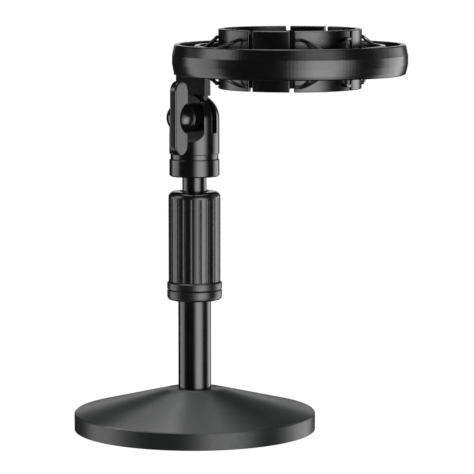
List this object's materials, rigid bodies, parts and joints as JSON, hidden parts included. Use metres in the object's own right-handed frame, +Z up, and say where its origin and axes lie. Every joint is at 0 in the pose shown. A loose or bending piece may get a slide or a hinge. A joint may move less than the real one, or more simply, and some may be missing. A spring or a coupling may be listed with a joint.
{
  "type": "desktop microphone stand",
  "caption": "Weighted round-base desk stand with a twist-clutch telescopic pole, a forked tilt swivel with a paddle knob and an offset ring shock mount with sprung jaws.",
  "frame": {"origin": "centre of the base's underside, on the pole axis", "axes": "+Z up the pole, +X from the pole to the ring's centre, Y along the tilt pivot with the knob on -Y"},
  "size_m": [0.2027, 0.14, 0.2341],
  "materials": {
    "powder_coat": "matte fine-textured black powder coat",
    "pad_rubber": "matte anti-slip rubber",
    "gloss_black_metal": "satin black lacquer",
    "grip_black": "satin moulded grip",
    "moulded_black": "satin moulded plastic",
    "nylon_black": "fine satin nylon",
    "nylon_white": "natural nylon",
    "plated_steel": "zinc plated",
    "thread_brass": "turned"
  },
  "bodies": {
    "base": {"base_plate": "powder_coat", "base_pad": "pad_rubber", "base_bolt": "plated_steel", "base_washer": "plated_steel", "lower_tube": "gloss_black_metal", "tube_plug": "plated_steel", "pole_collar": "plated_steel", "collet": "nylon_white"},
    "clutch": {"clutch_sleeve": "grip_black", "clutch_liner": "thread_brass", "clutch_cap": "gloss_black_metal"},
    "upper": {"upper_tube": "gloss_black_metal", "tube_guide": "nylon_white", "upper_stud": "plated_steel", "lock_collar": "gloss_black_metal"},
    "swivel": {"swivel_fork": "gloss_black_metal", "thread_insert": "thread_brass", "pivot_nut": "plated_steel"},
    "knob": {"knob": "moulded_black", "knob_bolt": "plated_steel", "knob_washer": "plated_steel"},
    "ring": {"outer_ring": "moulded_black", "inner_hoop": "moulded_black", "ring_bracket": "moulded_black", "bracket_screw_upright": "plated_steel", "bracket_screw_radial": "plated_steel", "strap_upper_1": "nylon_black", "strap_upper_2": "nylon_black", "strap_upper_3": "nylon_black", "strap_upper_4": "nylon_black", "strap_lower_1": "nylon_black", "strap_lower_2": "nylon_black", "strap_lower_3": "nylon_black", "strap_lower_4": "nylon_black"},
    "cradle": {"jaw_wide_1": "nylon_black", "jaw_wide_2": "nylon_black", "jaw_wide_3": "nylon_black", "jaw_wide_4": "nylon_black", "jaw_narrow_1": "nylon_black", "jaw_narrow_2": "nylon_black", "jaw_narrow_3": "nylon_black", "jaw_narrow_4": "nylon_black", "jaw_web_1": "nylon_black", "jaw_web_2": "nylon_black", "jaw_web_3": "nylon_black", "jaw_web_4": "nylon_black", "jaw_web_5": "nylon_black", "jaw_web_6": "nylon_black", "jaw_web_7": "nylon_black", "jaw_web_8": "nylon_black"}
  },
  "joints": [
    {"name": "height_slide", "type": "slide", "parent": "base", "child": "upper", "axis": [0, 0, 1], "range_m": [-0.008, 0.07]},
    {"name": "clutch_twist", "type": "hinge", "parent": "base", "child": "clutch", "pos_m": [0, 0, 0.1], "axis": [0, 0, 1], "range_deg": [0, 120]},
    {"name": "head_pan", "type": "hinge", "parent": "upper", "child": "swivel", "pos_m": [0, 0, 0.16], "axis": [0, 0, 1], "range_deg": [-180, 180]},
    {"name": "ring_tilt", "type": "hinge", "parent": "swivel", "child": "ring", "pos_m": [0, 0, 0.182], "axis": [0, 1, 0], "range_deg": [-60, 70]},
    {"name": "knob_turn", "type": "hinge", "parent": "swivel", "child": "knob", "pos_m": [0, 0, 0.182], "axis": [0, 1, 0], "range_deg": [0, 300]},
    {"name": "cradle_float", "type": "slide", "parent": "ring", "child": "cradle", "axis": [0, 0, 1], "range_m": [-0.0025, 0.0025], "stiffness_N_per_m": 800, "deforming": ["strap_upper_1", "strap_upper_2", "strap_upper_3", "strap_upper_4", "strap_lower_1", "strap_lower_2", "strap_lower_3", "strap_lower_4"]}
  ]
}
